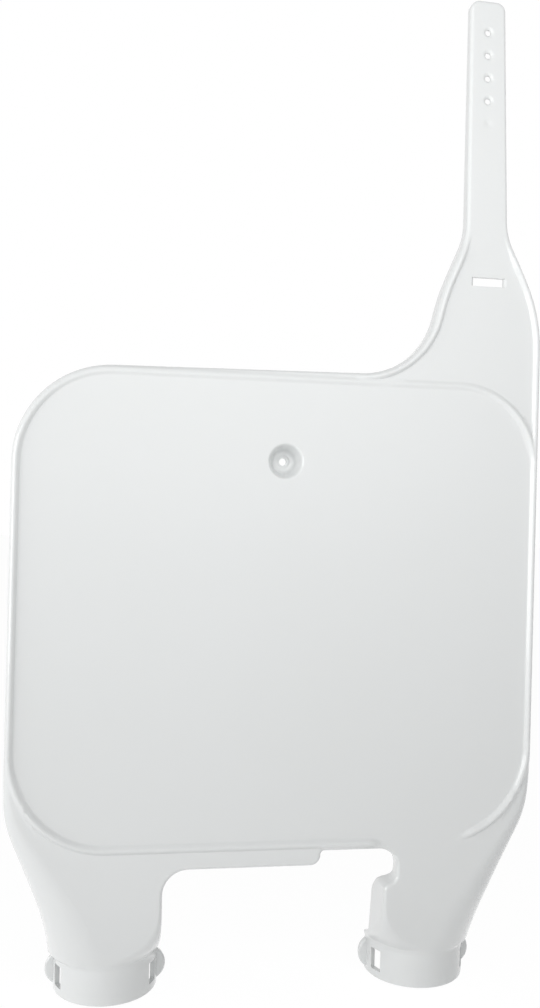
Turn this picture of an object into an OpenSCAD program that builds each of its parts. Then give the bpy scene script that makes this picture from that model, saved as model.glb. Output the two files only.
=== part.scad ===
// Front number board of an off-road motorcycle, moulded in one piece of glossy white plastic.
// A thin sheet carries a raised ridge round the number field, and every edge is turned back.
// A strap runs up to the handlebar, and two legs widen at the back into saddles for the fork tubes.
// Frame: the origin is in the centre screw's hole, X to the right, Y to the back, Z up.

/* [Panel] */
// Width of the panel over its turned edges
panel_w = 256.5; // [250:0.5:264]
// Height of the panel's top edge above the screw
top_up = 42; // [38:0.5:48]
// Rise of the top edge from the left corner to the strap
top_rise = 2.5; // [1:0.5:4]
// Radius of the top corner away from the strap
corner_r = 46; // [38:1:52]
// Depth of the edge between the legs below the screw
lower_edge_down = 195; // [192:0.5:197]
// Length of the step in that edge beside the right leg
step_w = 32; // [24:1:40]
// Height of that step
step_h = 7; // [6.5:0.1:8]

/* [Moulding] */
// Thickness of the plastic
wall = 2.5; // [2:0.1:2.8]
// Depth of the turned-back edge, from the front face
edge_depth = 7; // [6:0.5:9]
// Rounding of the front edge
edge_round = 1.2; // [0.8:0.1:1.6]

/* [Ridge] */
// Height of the ridge above the face
ridge_h = 2; // [1:0.1:2.6]
// Half the width of the ridge
ridge_half_w = 3; // [2.4:0.1:3.4]
// Distance from the panel's edge to the ridge's crest
ridge_inset = 1.75; // [1.6:0.05:2.2]
// Depth of the lower run of the ridge below the screw
ridge_down = 184.5; // [180:0.5:186]
// Radius of the ridge's lower corners
ridge_low_r = 45.5; // [38:0.5:50]
// Radius of the ridge's corner below the strap
ridge_strap_r = 39; // [32:0.5:45]
// Where the lower run stops, to the right of the screw
ridge_stop_x = 51.5; // [46:0.5:60]
// Angle that the last corner covers before it fades
ridge_stop_angle = 75; // [60:1:80]

/* [Strap] */
// Height of the strap's tip above the screw
strap_tip_up = 231.5; // [220:0.5:245]
// Height of the strap's root above the screw
strap_root_up = 115; // [112:0.5:120]
// Middle of the strap's root, to the right of the screw
strap_x = 98.8; // [97:0.1:100]
// Sideways lean of the strap from its root to its tip
strap_lean = 2.5; // [0:0.1:5]
// Width of the strap at its root
strap_root_w = 21.2; // [20:0.1:22.5]
// Width of the strap at its tip
strap_tip_w = 18.2; // [16:0.1:20]
// Depth of the turned-back edge at the tip
strap_tip_depth = 4.5; // [4:0.1:6]
// Number of holes along the strap
strap_holes = 4; // [2:1:6]
// Spacing of the holes
strap_pitch = 11.3; // [10:0.1:12.5]
// Distance from the tip to the first hole
strap_first = 15.8; // [12:0.1:18]
// Diameter of the holes
strap_hole_d = 2.8; // [2:0.1:4]
// Diameter of the dimple round each hole
strap_dimple_d = 4.2; // [3.5:0.1:6]

/* [Slot under the strap] */
// Width of the slot
slot_w = 16; // [13:0.5:17]
// Height of the slot
slot_h = 4.4; // [4.2:0.1:6]
// Height of its middle above the screw
slot_up = 92; // [88:0.5:98]
// Middle of the slot, to the right of the screw
slot_x = 100; // [98:0.5:101]

/* [Web] */
// Corner where the web leaves the top edge, to the right of the screw
web_foot_x = 66; // [62:0.5:69]
// Radius of that corner
web_foot_r = 38; // [30:1:40]
// Bend in the web's left edge, to the right of the screw
web_waist_x = 75.8; // [74:0.2:78]
// Height of that bend above the screw
web_waist_up = 85.6; // [84:0.2:88]
// Height of the web's right shoulder above the screw
shoulder_up = 77; // [72:0.5:82]
// Radius of the shoulder
shoulder_r = 80; // [60:1:90]

/* [Centre screw] */
// Diameter of the cup round the screw, at the face
cup_d = 20; // [18:0.5:24]
// Depth of the cup
cup_depth = 9; // [6:0.5:12]
// Diameter of the cup's floor
cup_floor_d = 10; // [9:0.5:12]
// Diameter of the seat for the screw head
head_d = 6.2; // [5.5:0.1:7]
// Diameter of the screw hole
screw_d = 3.6; // [3:0.1:4.5]

/* [Legs] */
// Depth of the bend where each leg's outer edge starts, below the screw
leg_bend_down = 172; // [168:0.5:176]
// Slope of the outer edge below that bend, sideways for each step down
leg_slope = 0.36; // [0.32:0.01:0.4]
// Distance of the legs' inner edges from the middle
leg_in_x = 54; // [53:0.1:55]
// Radius between the left leg and the lower edge
leg_fillet_r = 12; // [8:0.5:12]
// Radius of the top of the bite in the right leg's inner edge
bite_r = 9; // [7:0.5:11]
// Depth of the bite, sideways
bite_in = 6.2; // [5:0.1:8]
// Depth of the flat face's end below the screw, where the legs start to round off
leg_top_down = 209.5; // [209.5:0.5:211]
// Depth below the screw where the outer edge starts to round off
leg_round_down = 140; // [135:1:150]
// Rounding of the outer edge where the legs start
leg_shoulder_r = 19; // [16:0.5:21]

/* [Saddles] */
// Distance of the saddles' axes from the middle
saddle_x = 79.5; // [79:0.1:80.5]
// Distance of the saddles' axes behind the front face
saddle_y = 33; // [31:0.5:36]
// Diameter of the fork tube that they fit
saddle_d = 46; // [44:0.5:47]
// Depth of the crease above the saddles, below the screw
crease_down = 242; // [238:0.5:246]
// Height of the saddles
saddle_h = 19; // [18.5:0.5:24]
// How far the saddles reach round behind their axes
saddle_wrap = 0.6; // [0.4:0.1:2]
// Step from the leg in to the saddle at the crease
crease_step = 0.6; // [0.4:0.1:1]
// Step at the outer side of the crease
crease_side = 2.5; // [1.5:0.1:3]
// Width of the strap slots, round the saddle
tie_slot_w = 7; // [5:0.5:8]
// Height of the strap slots
tie_slot_h = 10.5; // [8:0.5:11]
// Angle of the strap slots from the front
tie_slot_angle = 64; // [60:1:68]
// Radius of the ears that keep the strap in place
ear_r = 8.5; // [7:0.5:9]
// How far the ears stand out from the saddle
ear_out = 4.1; // [3:0.1:5]
// Thickness of the ears
ear_t = 3.5; // [2.5:0.1:4.5]

/* [Hidden] */
$fn = 64;

arc_step = 9;          // degrees between points along a rounded corner
row_step = 7;          // spacing of sections where the rounding grows
leg_rows = 12;         // sections along each leg
section_turn = [0:15:90]; // angles round a rounded edge's section
sliver = 0.3;          // smallest inside radius
strap_tip_r = 5;
strap_root_r = 32;
waist_r = 100;
bend_r = 60;
hidden_r = 6;
step_r = 1.8;
nose_r = 3.8;
bite_low_r = 4.6;
bite_low = 206.2;
lead = 0.3;            // how far the legs run up into the sheet's plastic
seam = 0.03;           // how far below the plastic's surface they do so
ridge_base = 1.9;      // depth of the ridges' hidden base
ridge_sink = 0.6;      // depth of a ridge's crest where it has faded out
seat_depth = 0.5;      // of the screw head's seat in the cup's floor
strap_relief = 1;      // depth of the strap holes' widening at the back
slot_bevel = 1;        // of the ends of the slot under the strap

half_w = panel_w / 2;
crest_x = half_w - ridge_inset;
crest_top = top_up - ridge_inset;
saddle_r = saddle_d / 2;
slant = sqrt(1 + leg_slope * leg_slope); // how much a level cut stretches the legs' outer edge
saddle_out_r = saddle_r + wall;
screw_y = cup_depth + (seat_depth + wall) / 2; // middle of the screw hole's wall, behind the front face
leg_r = saddle_out_r + crease_step;
rim_down = crease_down + saddle_h;
stub_down = leg_top_down + 32; // the outline's hidden end, cut away where the legs start
strap_rise = strap_tip_up - strap_root_up;
slot_down = crease_down + saddle_h / 2 + 0.5;

// Small helpers
function turned(v, a) = [v[0] * cos(a) - v[1] * sin(a), v[0] * sin(a) + v[1] * cos(a)];
function mix(a, b, t) = a + (b - a) * t;
function unit(v) = v / norm(v);
function clamped(t) = min(1, max(0, t));
function reversed(v) = let (w = [for (i = v) i]) [for (i = [len(w) - 1:-1:0]) w[i]];
function ease(a, b, t) = let (s = clamped((t - a) / (b - a))) s * s * (3 - 2 * s);

// Stations along a rounded corner: [x, z, nx, nz], the point and the direction into the plastic.
// The outline runs clockwise as seen from the front, so a right turn is an outward corner.
function corner(a, p, b, r) =
    let (d1 = unit(p - a), d2 = unit(b - p), turn = atan2(cross(d1, d2), d1 * d2))
    let (side = turn < 0 ? 1 : -1, start = p - d1 * r * tan(abs(turn) / 2))
    let (centre = start + [d1[1], -d1[0]] * r * side, steps = max(2, ceil(abs(turn) / arc_step)))
    [for (k = [0:steps])
        let (v = turned(start - centre, turn * k / steps))
        [centre[0] + v[0], centre[1] + v[1], -side * v[0] / r, -side * v[1] / r]];

function at_corner(c, i) =
    let (n = len(c), a = c[(i + n - 1) % n], p = c[i], b = c[(i + 1) % n])
    corner([a[0], a[1]], [p[0], p[1]], [b[0], b[1]], p[2]);

// All stations round the outline, with more of them where the rounding changes along a straight edge
function last_of(v) = v[len(v) - 1];
function straight(s, e) =
    let (grows = max(down_leg(s[0], s[1]), down_leg(e[0], e[1])) > 0)
    let (n = grows ? ceil(norm([e[0] - s[0], e[1] - s[1]]) / row_step) : 1)
    [for (k = [1:1:n - 1]) let (p = mix(s, e, k / n)) if (p[1] < row_step - leg_round_down) p];
function all_stations(c) = [for (i = [0:len(c) - 1])
    let (here = at_corner(c, i))
    for (s = concat(here, straight(last_of(here), at_corner(c, (i + 1) % len(c))[0]))) s];

// Corners of the board as [x, z, radius]
strap_tip_x = strap_x - strap_lean;
low_x = half_w - leg_slope * (stub_down - leg_bend_down);
bite_x = leg_in_x + bite_in;
step_down = lower_edge_down - step_h;
corners = [
    [-low_x, -stub_down, hidden_r],
    [-half_w, -leg_bend_down, bend_r],
    [-half_w, top_up, corner_r],
    [web_foot_x, top_up + top_rise, web_foot_r],
    [web_waist_x, web_waist_up, waist_r],
    [strap_x - strap_root_w / 2, strap_root_up, strap_root_r],
    [strap_tip_x - strap_tip_w / 2, strap_tip_up, strap_tip_r],
    [strap_tip_x + strap_tip_w / 2, strap_tip_up, strap_tip_r],
    [strap_x + strap_root_w / 2, strap_root_up + 1, strap_root_r],
    [half_w, shoulder_up, shoulder_r],
    [half_w, -leg_bend_down, bend_r],
    [low_x, -stub_down, hidden_r],
    [leg_in_x, -stub_down, hidden_r],
    [leg_in_x, -bite_low, nose_r],
    [bite_x, -(bite_low - 0.4 * bite_in), bite_low_r],
    [bite_x, -step_down, bite_r],
    [leg_in_x - step_w, -step_down, step_r],
    [leg_in_x - step_w, -lower_edge_down, step_h - step_r - 0.2],
    [-leg_in_x, -lower_edge_down, leg_fillet_r],
    [-leg_in_x, -stub_down, hidden_r],
];
WEB_FOOT = 3;
WEB_WAIST = 4;
STRAP_LEFT = 5;
STRAP_RIGHT = 8;
SHOULDER = 9;

// How far along the leg's outer edge a point lies, from 0 at the bend to 1 at the leg's start
function down_leg(x, z) = abs(x) < leg_in_x * 1.5 ? 0
    : pow(clamped((-z - leg_round_down) / (leg_top_down - row_step - 1 - leg_round_down)), 1.8)
        * clamped((stub_down - 4 + z) / 10);
function round_at(x, z) = mix(edge_round, leg_shoulder_r, down_leg(x, z));
function depth_at(x, z) = z > strap_root_up
    ? mix(edge_depth, strap_tip_depth, (z - strap_root_up) / strap_rise)
    : mix(edge_depth, leg_shoulder_r + 3, down_leg(x, z));
function inner_round(r) = max(r - wall, sliver);
function land_at(x, z) = wall + inner_round(round_at(x, z)) + 0.8;

// Section of the turned edge as [distance in from the edge, depth behind the face], from the
// sheet's back round the edge to its front
function edge_section(r, depth, land) =
    let (ri = inner_round(r))
    concat(
        [[land, wall]],
        [for (a = reversed(section_turn)) [wall + ri * (1 - cos(a)), wall + ri * (1 - sin(a))]],
        [[wall, depth], [0, depth]],
        [for (a = section_turn) [r * (1 - cos(a)), r * (1 - sin(a))]],
        [[land, 0]]
    );

function placed(s, section) = [for (q = section) [s[0] + s[2] * q[0], q[1], s[1] + s[3] * q[0]]];

// Skin over n rings of m points
function skin(n, m) = [
    for (i = [0:n - 2], j = [0:m - 1])
        let (a = i * m + j, b = i * m + (j + 1) % m)
        for (f = [[a, b + m, b], [a, a + m, b + m]]) f];

// A plate with a turned edge: sections all the way round, closed by a flat front and a flat back
module edged_plate(rings) {
    n = len(rings);
    m = len(rings[0]);
    sides = [for (i = [0:n - 1], j = [0:m - 2])
        let (a = i * m + j, d = ((i + 1) % n) * m + j)
        for (f = [[a, d + 1, a + 1], [a, d, d + 1]]) f];
    front = [for (i = [0:n - 1]) i * m + m - 1];
    back = [for (i = [n - 1:-1:0]) i * m];
    polyhedron([for (r = rings) for (p = r) p], concat(sides, [front, back]), convexity = 10);
}

module open_sweep(rings) {
    n = len(rings);
    m = len(rings[0]);
    first = [for (j = [1:m - 2]) [0, j, j + 1]];
    last = [for (j = [1:m - 2]) [(n - 1) * m, (n - 1) * m + j + 1, (n - 1) * m + j]];
    polyhedron([for (r = rings) for (p = r) p], concat(skin(n, m), first, last), convexity = 10);
}

// A shell sweep: each ring is an outer line followed by the inner line run backwards
module shell_sweep(rings) {
    n = len(rings);
    m = len(rings[0]);
    ends = [for (j = [0:m / 2 - 2]) [j, j + 1, m - 2 - j, m - 1 - j]];
    first = [for (e = ends) for (f = [[e[0], e[1], e[2]], [e[0], e[2], e[3]]]) f];
    last = [for (f = first) [for (k = [2:-1:0]) f[k] + (n - 1) * m]];
    polyhedron([for (r = rings) for (p = r) p], concat(skin(n, m), first, last), convexity = 10);
}

// A slab of a flat outline, between two depths behind the face
module slab(y0, y1) {
    translate([0, y1, 0]) rotate([90, 0, 0]) linear_extrude(y1 - y0) children();
}

// The sheet and its turned edge, cut level where the legs take over
module tray() {
    difference() {
        edged_plate([for (s = all_stations(corners))
            let (r = round_at(s[0], s[1]))
            placed(s, edge_section(r, depth_at(s[0], s[1]), land_at(s[0], s[1])))]);
        translate([-panel_w, -1, -leg_top_down - panel_w]) cube([2 * panel_w, 2 * saddle_y, panel_w]);
    }
}

// Section of a ridge: strength from 1 down to 0, where it has sunk into the face, and its two half widths
function ridge_section(k, out, inn) =
    let (rise = function (u) (1 - k) * ridge_sink - k * ridge_h * pow(1 - u * u, 0.75))
    concat(
        [[-out - 0.25, ridge_base]],
        [for (u = [-0.8, -0.45]) [u * out, rise(u)]],
        [[0, rise(0)]],
        [for (u = [0.45, 0.8]) [u * inn, rise(u)]],
        [[inn + 0.25, ridge_base]]
    );

function edge_gap(s) = min(half_w - abs(s[0]), top_up + top_rise * clamped((s[0] + crest_x) / (2 * crest_x)) - s[1]);
function ridge_ring(s, k) =
    let (out = min(ridge_half_w, edge_gap(s) - 0.4))
    placed(s, ridge_section(k, out, ridge_half_w));
function rim_ring(s, k) =
    placed([s[0] + s[2] * ridge_inset, s[1] + s[3] * ridge_inset, s[2], s[3]],
        ridge_section(k, ridge_inset - 0.4, ridge_half_w));

// Stations along a run of corners for a rim beside the edge, between the edge's own
function between(v) = [for (i = [0:len(v) - 2])
    for (t = norm([v[i + 1][0] - v[i][0], v[i + 1][1] - v[i][1]]) > 2 * row_step ? [0.1, 0.9] : [0.5])
        mix(v[i], v[i + 1], t)];

// Stations round an arc of the ridge, clockwise from one angle to another
function arc_run(cx, cz, r, from, to) =
    let (n = ceil(abs(to - from) / arc_step) + 1)
    [for (k = [0:n]) let (a = mix(from, to, k / n)) [cx + r * cos(a), cz + r * sin(a), -cos(a), -sin(a)]];

// The ridge from the gap over the right leg, round the left side and the top, to the right side
module field_ridge() {
    low = arc_run(-crest_x + ridge_low_r, -ridge_down + ridge_low_r, ridge_low_r, 270, 180);
    top_r = corner_r - ridge_inset;
    high = arc_run(-crest_x + top_r, crest_top - top_r, top_r, 180, 90);
    along = [for (x = [-20, 20]) [x, crest_top, 0, -1]];
    strap_side = arc_run(crest_x - ridge_strap_r, crest_top - ridge_strap_r, ridge_strap_r, 90, 10);
    open_sweep(concat(
        [ridge_ring([ridge_stop_x, -ridge_down, 0, 1], 1)],
        [for (s = concat(low, high, along)) ridge_ring(s, 1)],
        [for (s = strap_side) ridge_ring(s, mix(1, 0.85, ease(60, 80, 90 - atan2(-s[3], -s[2]))))]
    ));
}

// The rim of the web's left edge
module web_rim() {
    run = between(concat(at_corner(corners, WEB_FOOT), at_corner(corners, WEB_WAIST),
        at_corner(corners, STRAP_LEFT)));
    fade_x = web_foot_x - 0.8 * web_foot_r;
    open_sweep([for (s = run)
        let (k = mix(0.5, 1, ease(fade_x, fade_x + 14, s[0])) * ease(strap_root_up, strap_root_up - 14, s[1]))
        rim_ring(s, k)]);
}

// The rim of the web's right edge, which goes on down the right side and round the last corner
module side_ridge() {
    run = between(concat(at_corner(corners, STRAP_RIGHT), at_corner(corners, SHOULDER)));
    low = arc_run(crest_x - ridge_low_r, -ridge_down + ridge_low_r, ridge_low_r, 0, -ridge_stop_angle);
    open_sweep(concat(
        [for (s = run) rim_ring(s, ease(strap_root_up, strap_root_up - 16, s[1]))],
        [for (s = low) ridge_ring(s, ease(-ridge_stop_angle, 10 - ridge_stop_angle, atan2(-s[3], -s[2])))]
    ));
}

// The cup that carries the screw: its back, and the hollow in front
module cup_back() {
    r1 = cup_d / 2 + wall / 2;
    r2 = cup_floor_d / 2 + wall;
    rotate([-90, 0, 0]) rotate_extrude()
        polygon([[0, wall / 2], [r1, wall / 2], [r1, wall], [r2, cup_depth + wall - 1],
            [r2 - 1, cup_depth + wall], [0, cup_depth + wall]]);
}

module cup_hollow() {
    lip = 1.5;
    r1 = cup_d / 2;
    r2 = cup_floor_d / 2;
    rotate([-90, 0, 0]) rotate_extrude()
        polygon([[0, -ridge_h], [r1 + lip, -ridge_h], [r1 + lip, 0], [r1 + 0.4 * lip, 0.25 * lip],
            [r1 - 0.2 * lip, lip], [r2 + 0.8, cup_depth - 1.2], [r2, cup_depth - 0.5], [head_d / 2, cup_depth],
            [0, cup_depth]]);
    rotate([-90, 0, 0]) {
        translate([0, 0, cup_depth - 1]) cylinder(d = head_d, h = 1 + seat_depth);
        translate([0, 0, cup_depth]) cylinder(d = screw_d, h = 2 * wall);
    }
}

// Holes along the strap, each with a dimple in front and widened behind, and the mark of one more
function strap_axis(z) = strap_x - strap_lean * (z - strap_root_up) / strap_rise;

module strap_openings() {
    for (k = [0:strap_holes - 1]) {
        z = strap_tip_up - strap_first - k * strap_pitch;
        translate([strap_axis(z), 0, z]) rotate([-90, 0, 0]) {
            translate([0, 0, -1]) cylinder(d = strap_hole_d, h = wall + 2);
            translate([0, 0, -1]) cylinder(d1 = strap_dimple_d + 3, d2 = strap_hole_d - 0.6, h = 2.2);
            translate([0, 0, wall - strap_relief])
                cylinder(d1 = strap_hole_d - 0.4, d2 = strap_hole_d + 3.4, h = strap_relief + 0.6);
        }
    }
    z = strap_tip_up - strap_first - strap_holes * strap_pitch;
    translate([strap_axis(z), 0, z]) rotate([-90, 0, 0])
        translate([0, 0, -1]) cylinder(d1 = strap_dimple_d, d2 = 1, h = 1.4);
}

// The slot, bevelled at both ends where it opens in the face
module web_slot() {
    half = slot_w / 2;
    mouth = half + slot_bevel + 1;
    translate([slot_x, 0, slot_up - slot_h / 2]) linear_extrude(slot_h)
        polygon([[-mouth, -1], [mouth, -1], [half, slot_bevel], [half, 2 * wall], [-half, 2 * wall],
            [-half, slot_bevel]]);
}

// Legs: each section is a channel whose two front edges grow round until it is a half tube
function leg_out_x(t) =
    let (len = crease_down - leg_top_down, x0 = half_w - leg_slope * (leg_top_down - leg_bend_down))
    let (run = leg_slope * len, fall = x0 - (saddle_x + leg_r + crease_side))
    x0 - run * t + (run - fall) * t * t;
function leg_front(t) = (saddle_y - leg_r) * pow(t, 1.6);
function outer_rx(t) = mix(leg_shoulder_r * slant, leg_r + crease_side - 0.1, t);
function outer_ry(t) = mix(leg_shoulder_r, leg_r - 0.1, t);
function inner_r(t) = mix(edge_round, leg_r - 0.1, pow(t, 3));
function outer_rear(t) = mix(leg_shoulder_r + 3, saddle_y + saddle_wrap, t);
function inner_rear(t) =
    let (reach = saddle_y + saddle_wrap - edge_depth)
    edge_depth + reach * (0.56 * ease(0, 0.2, t) + 0.15 * t + 0.29 * ease(0.85, 1, t));

function leg_line(t, inset, up) =
    let (level_inset = inset * mix(slant, 1, t), y = leg_front(t) + inset)
    let (xo = leg_out_x(t) + leg_slope * up - level_inset, xi = mix(leg_in_x, saddle_x - leg_r, t) + inset)
    let (rx = outer_rx(t) - level_inset, ry = max(outer_ry(t) - inset, sliver))
    let (ri = max(inner_r(t) - inset, sliver), z = up - mix(leg_top_down, crease_down, t))
    concat(
        [[xo, outer_rear(t), z]],
        [for (a = section_turn) [xo - rx * (1 - cos(a)), y + ry * (1 - sin(a)), z]],
        [for (a = section_turn) [xi + ri * (1 - sin(a)), y + ri * (1 - cos(a)), z]],
        [[xi, inner_rear(t), z]]
    );

function leg_ring(t, up) = concat(leg_line(t, seam, up), reversed(leg_line(t, wall - seam, up)));

module leg() {
    shell_sweep(concat([leg_ring(0, lead)], [for (k = [0:leg_rows]) leg_ring(k / leg_rows, 0)]));
}

// Saddle: half a tube, with an ear behind each strap slot
module saddle() {
    translate([saddle_x, saddle_y, -rim_down]) intersection() {
        cylinder(r = saddle_out_r, h = saddle_h);
        translate([-leg_r, -leg_r, 0]) cube([2 * leg_r, leg_r + saddle_wrap, saddle_h]);
    }
    for (side = [-1, 1])
        translate([saddle_x + side * (saddle_out_r + ear_out - ear_r), 0, -slot_down])
            slab(saddle_y + saddle_wrap - ear_t, saddle_y + saddle_wrap) circle(r = ear_r);
}

module saddle_openings() {
    translate([saddle_x, saddle_y, -rim_down - 1]) cylinder(r = saddle_r, h = saddle_h + 1);
    for (side = [-1, 1])
        translate([saddle_x, saddle_y, -slot_down]) rotate([0, 0, side * tie_slot_angle])
            translate([-tie_slot_w / 2, -saddle_out_r - ear_out, -tie_slot_h / 2])
                cube([tie_slot_w, ear_out + 3 * wall, tie_slot_h]);
}

module both_sides() {
    children();
    mirror([1, 0, 0]) children();
}

// The sculpted body: sheet, turned edge, ridges and legs
module body() {
    tray();
    field_ridge();
    web_rim();
    side_ridge();
    both_sides() leg();
}

module number_board() {
    color([0.93, 0.94, 0.94]) difference() {
        union() {
            resize([panel_w, 0, 0]) body();
            cup_back();
            both_sides() saddle();
        }
        cup_hollow();
        strap_openings();
        web_slot();
        both_sides() saddle_openings();
    }
}

translate([0, -screw_y, 0]) number_board();
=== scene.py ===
"""Looks of a moulded number board for an off-road motorcycle, laid out as a Blender add-on."""
import math

import bmesh
import bpy
import numpy as np
from mathutils import Matrix, Vector
from mathutils.geometry import delaunay_2d_cdt


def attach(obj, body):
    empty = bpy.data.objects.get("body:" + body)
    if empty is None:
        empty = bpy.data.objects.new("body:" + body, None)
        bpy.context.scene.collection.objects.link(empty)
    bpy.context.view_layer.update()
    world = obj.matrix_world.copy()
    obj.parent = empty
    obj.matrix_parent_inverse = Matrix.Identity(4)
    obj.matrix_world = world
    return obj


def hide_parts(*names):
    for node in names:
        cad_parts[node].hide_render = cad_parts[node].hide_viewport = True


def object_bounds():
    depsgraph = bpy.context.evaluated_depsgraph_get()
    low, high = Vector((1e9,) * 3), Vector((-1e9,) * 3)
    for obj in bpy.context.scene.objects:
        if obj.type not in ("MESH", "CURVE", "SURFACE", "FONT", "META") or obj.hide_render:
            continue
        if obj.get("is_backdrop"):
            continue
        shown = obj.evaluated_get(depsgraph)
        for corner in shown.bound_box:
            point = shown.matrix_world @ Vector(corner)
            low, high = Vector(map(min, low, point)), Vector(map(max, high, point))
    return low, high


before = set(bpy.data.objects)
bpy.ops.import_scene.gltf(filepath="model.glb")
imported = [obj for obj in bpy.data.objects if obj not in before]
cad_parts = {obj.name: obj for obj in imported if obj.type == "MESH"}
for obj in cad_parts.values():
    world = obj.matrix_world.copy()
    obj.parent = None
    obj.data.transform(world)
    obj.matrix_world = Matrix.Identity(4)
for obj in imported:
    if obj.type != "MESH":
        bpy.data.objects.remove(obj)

bl_info = {
    "name": "Moulded number board",
    "version": (1, 0, 0),
    "blender": (4, 5, 0),
    "location": "View3D > Sidebar > Board",
    "description": "Builds a moulded plastic number board and its photo stage",
    "category": "Object",
}

NODE = "number_board"


def length(name, description, default, low=0.0, high=0.5):
    """A property that holds a length in metres."""
    return bpy.props.FloatProperty(name=name, description=description, default=default, min=low, max=high,
                                   unit="LENGTH", subtype="DISTANCE", precision=5)


class BoardShape(bpy.types.PropertyGroup):
    """Sizes of the moulding"""
    wall: length("Wall", "Thickness of the plastic", 0.0025)
    edge_round: length("Edge rounding", "Rounding of the front edge", 0.0018)
    edge_depth: length("Edge depth", "Depth of the turned-back edge", 0.007)
    tip_depth: length("Tip depth", "Depth of the turned-back edge at the strap's tip", 0.0045)
    ridge_height: length("Ridge height", "Height of the ridge above the face", 0.0017)
    ridge_inside: length("Ridge inside", "Width of the ridge from its crest in to its foot", 0.0019)
    ridge_outside: length("Ridge outside", "Width of a free ridge from its crest out to its foot", 0.0021)
    ridge_inset: length("Ridge inset", "Distance from the panel's edge to the ridge's crest", 0.0023)
    cup_mouth: length("Cup mouth", "Radius of the screw cup's rounded mouth", 0.009)
    cup_depth: length("Cup depth", "Depth of the screw cup", 0.009)
    screw_hole: length("Screw hole", "Radius of the screw hole", 0.0018)
    strap_hole: length("Strap hole", "Radius of the holes in the strap", 0.0014)
    slot_width: length("Slot width", "Width of the slot under the strap", 0.016)
    slot_height: length("Slot height", "Height of the slot under the strap", 0.0044)
    saddle_radius: length("Saddle radius", "Inside radius of the fork saddles", 0.023)
    tie_slot_width: length("Tie slot width", "Width of the slots for the cable ties", 0.007)
    tie_slot_height: length("Tie slot height", "Height of the slots for the cable ties", 0.0105)
    ear_radius: length("Ear radius", "Radius of the ears behind the tie slots", 0.0085)


class BoardFinish(bpy.types.PropertyGroup):
    """Finish of the moulded plastic"""
    colour: bpy.props.FloatVectorProperty(
        name="Plastic colour", description="Colour of the moulded plastic",
        subtype="COLOR", size=3, min=0, max=1, default=(0.77, 0.785, 0.785))
    roughness: bpy.props.FloatProperty(
        name="Roughness", description="Roughness of the plastic's gloss",
        subtype="FACTOR", min=0, max=1, default=0.3)
    ripple: bpy.props.FloatProperty(
        name="Ripple", description="Height of the moulded surface's faint ripple",
        unit="LENGTH", subtype="DISTANCE", min=0, max=0.001, default=0.00012, precision=6)
    crease: bpy.props.FloatProperty(
        name="Crease angle", description="Edges sharper than this stay crisp",
        subtype="ANGLE", unit="ROTATION", min=0, max=math.pi, default=math.radians(38))


class BoardStage(bpy.types.PropertyGroup):
    """Camera, floor and lamps"""
    camera_place: bpy.props.FloatVectorProperty(
        name="Camera", description="Place of the camera",
        subtype="XYZ", unit="LENGTH", size=3, default=(-0.0835, -0.4731, -0.0207))
    camera_yaw: bpy.props.FloatProperty(
        name="Yaw", description="Turn of the camera to the right, seen from above",
        subtype="ANGLE", unit="ROTATION", default=math.radians(9.35))
    camera_roll: bpy.props.FloatProperty(
        name="Roll", description="Roll of the camera about its line of sight",
        subtype="ANGLE", unit="ROTATION", default=math.radians(1.43))
    lens: bpy.props.FloatProperty(
        name="Lens", description="Focal length on a sensor 36 mm along the picture's long side",
        unit="CAMERA", min=1, default=35)
    backdrop: bpy.props.FloatVectorProperty(
        name="Backdrop", description="Colour of the floor and of the space behind the board",
        subtype="COLOR", size=3, min=0, max=1, default=(0.96, 0.96, 0.96))


# The shape is worked out in millimetres with the front face at y = 0 and the screw hole at x = z = 0,
# and is brought into the frame at the end. Depths grow to the rear, and a drop is a height below the hole.
FRONT_Y = -10.5                                     # place of the front face in the frame
HALF_W = 128.25                                     # half the panel's width
TOP, TOP_RISE, TOP_R = 42.0, 2.5, 46.0              # top edge's left end, its rise, and its corner's rounding
BOTTOM, STEP = 195.0, 7.0                           # drop of the lower edge, and the step in it
FOOT_X, FOOT_R = 66.0, 38.0                         # where the strap's web leaves the top edge, and its rounding
LEG_IN, LEG_BEND, LEG_SLOPE = 54.0, 172.0, 0.36     # inner side, drop where the outer side bends, its slope
LEG_TOP, LEG_ROUND = 209.5, 140.0                   # drops of the leg's start and of its edge's first rounding
SHOULDER_R, SHOULDER_REAR = 19.0, 22.0              # rounding and depth of the outer side at the leg's start
DEEP_FROM, DEEP_TO = 198.0, 216.0                   # drops between which the legs' inner edges grow deeper
DEEP_SHARES = (0.56, 0.15, 0.29)                    # shares of their whole growth: there, down the leg, at its end
STRAP_ROOT, STRAP_TIP = 115.0, 231.5                # heights of the strap's two ends
STRAP_X, STRAP_LEAN = 98.8, 2.5                     # strap's middle at its root, and how far its tip leans in
HOLE_DROP, HOLE_PITCH, HOLE_COUNT = 15.8, 11.3, 4   # strap holes: first one below the tip, spacing, number
MARK_DEPTH, MARK_R = 0.35, 1.9                      # faint dimple below the strap holes
CUP_WALL, DIMPLE, CONE = 0.9, 1.7, 1.5              # cup's side wall, rims of a strap hole in front and behind
SLOT_X, SLOT_Z = 100.0, 92.0                        # middle of the slot under the strap
SADDLE_X, SADDLE_Y = 79.5, 33.0                     # axis of a fork saddle
CREASE, SADDLE_H = 242.0, 19.0                      # drop of a saddle's top, and its height
SADDLE_REAR = SADDLE_Y + 0.6                        # depth of the saddles' rear edges
TIE_ANGLE = 64.0                                    # degrees round the saddle from its front to a tie slot
TIE_Z = -CREASE - SADDLE_H / 2 - 0.5                # height of the tie slots' middle
BEVEL, SOFT = 0.4, 0.12                             # width of a rim's small bevel, and of its softer first step
LEAST_R = 0.3                                       # least rounding of an inner corner
SLANT = math.sqrt(1 + LEG_SLOPE ** 2)               # length of the outer side for each millimetre of drop
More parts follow.
